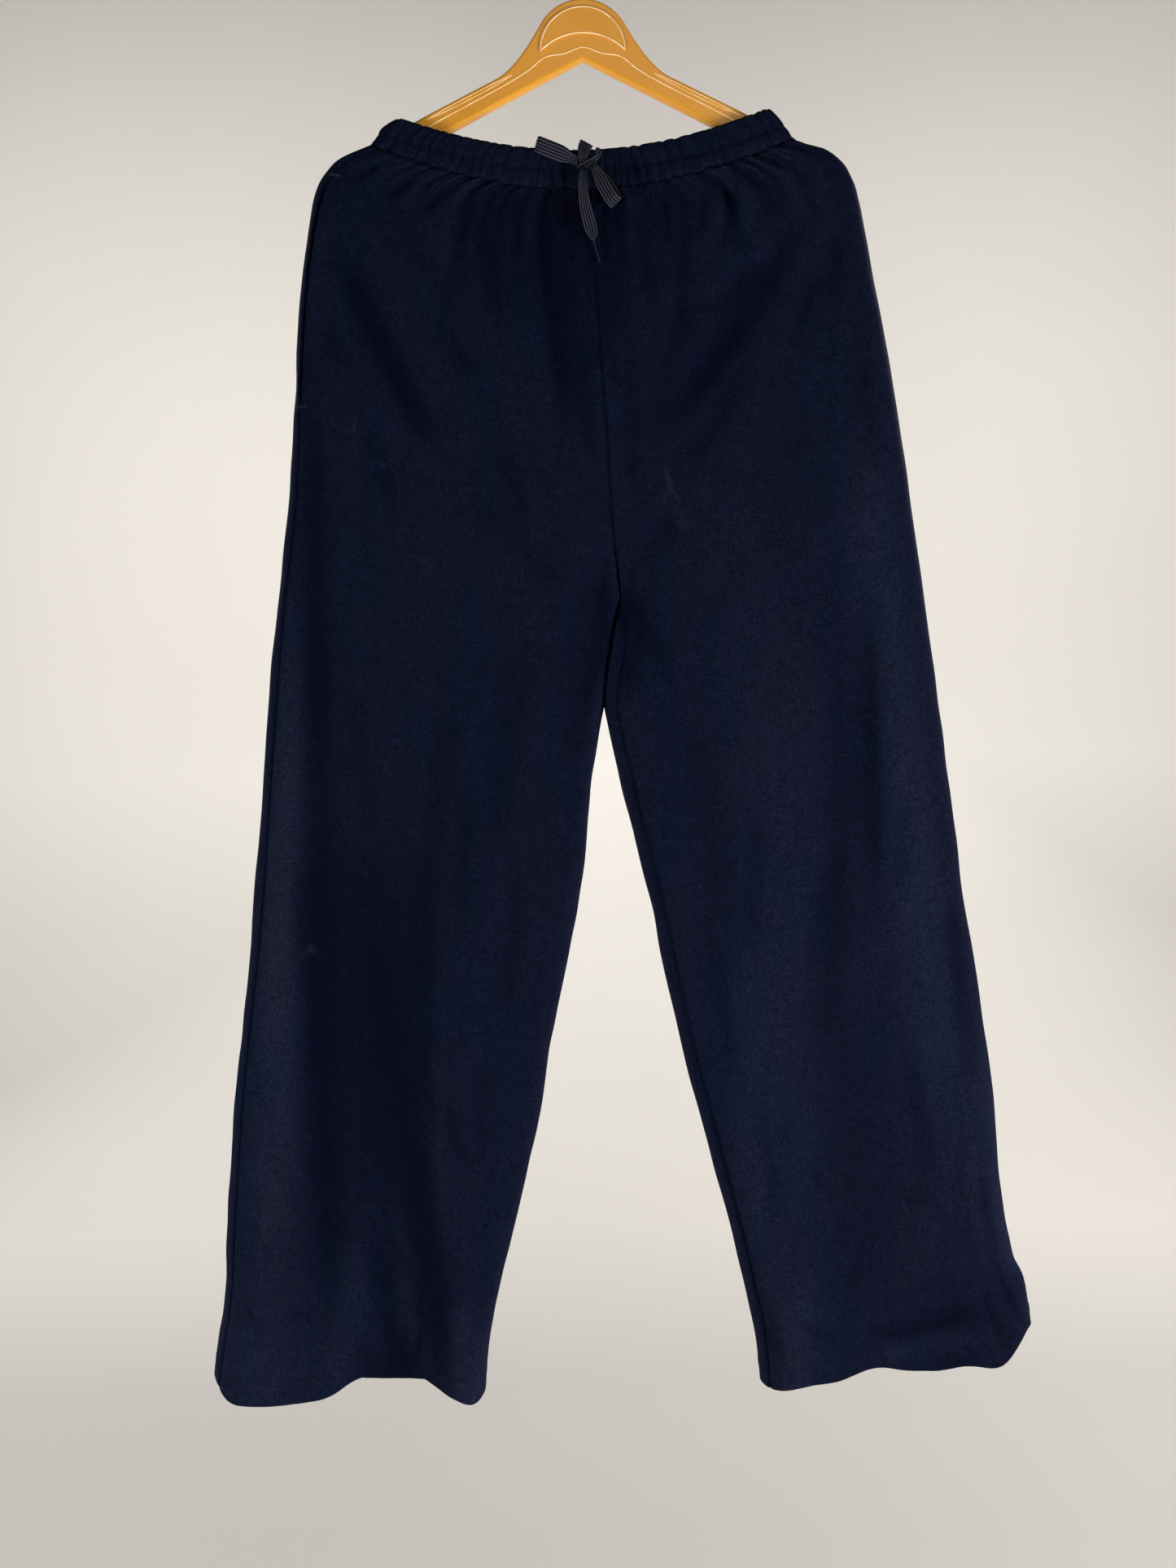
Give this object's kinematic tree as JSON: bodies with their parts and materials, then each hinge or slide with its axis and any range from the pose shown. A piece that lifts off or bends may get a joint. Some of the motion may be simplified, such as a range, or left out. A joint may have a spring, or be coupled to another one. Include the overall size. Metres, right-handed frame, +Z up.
{
  "type": "palazzo trousers on a clothes hanger",
  "caption": "Wide-legged pull-on jersey trousers with a gathered elastic waistband and a drawstring bow, hung by the waist on a plastic clothes hanger.",
  "frame": {"origin": "inner crown of the hanger's hook, where it hangs on a rod", "axes": "+Z up, +X towards the wearer's left, the trousers' front faces -Y"},
  "size_m": [0.6507, 0.042, 1.1444],
  "materials": {
    "jersey": "matte navy knit",
    "jersey_inside": "matte navy knit, inner side",
    "lace": "charcoal ribbed braid",
    "orange_plastic": "glossy orange tan",
    "hook_wire": "plated wire"
  },
  "bodies": {
    "root": {"front_right_leg": "jersey", "front_left_leg": "jersey", "back_right_leg": "jersey", "back_left_leg": "jersey", "waistband": "jersey", "pocket_bag": "jersey_inside", "bow_knot": "lace", "bow_strand": "lace", "bow_loop_right": "lace", "bow_loop_left": "lace", "bow_short_end": "lace", "bow_tail": "lace", "hanger": "orange_plastic", "hanger_hook": "hook_wire"}
  },
  "joints": []
}
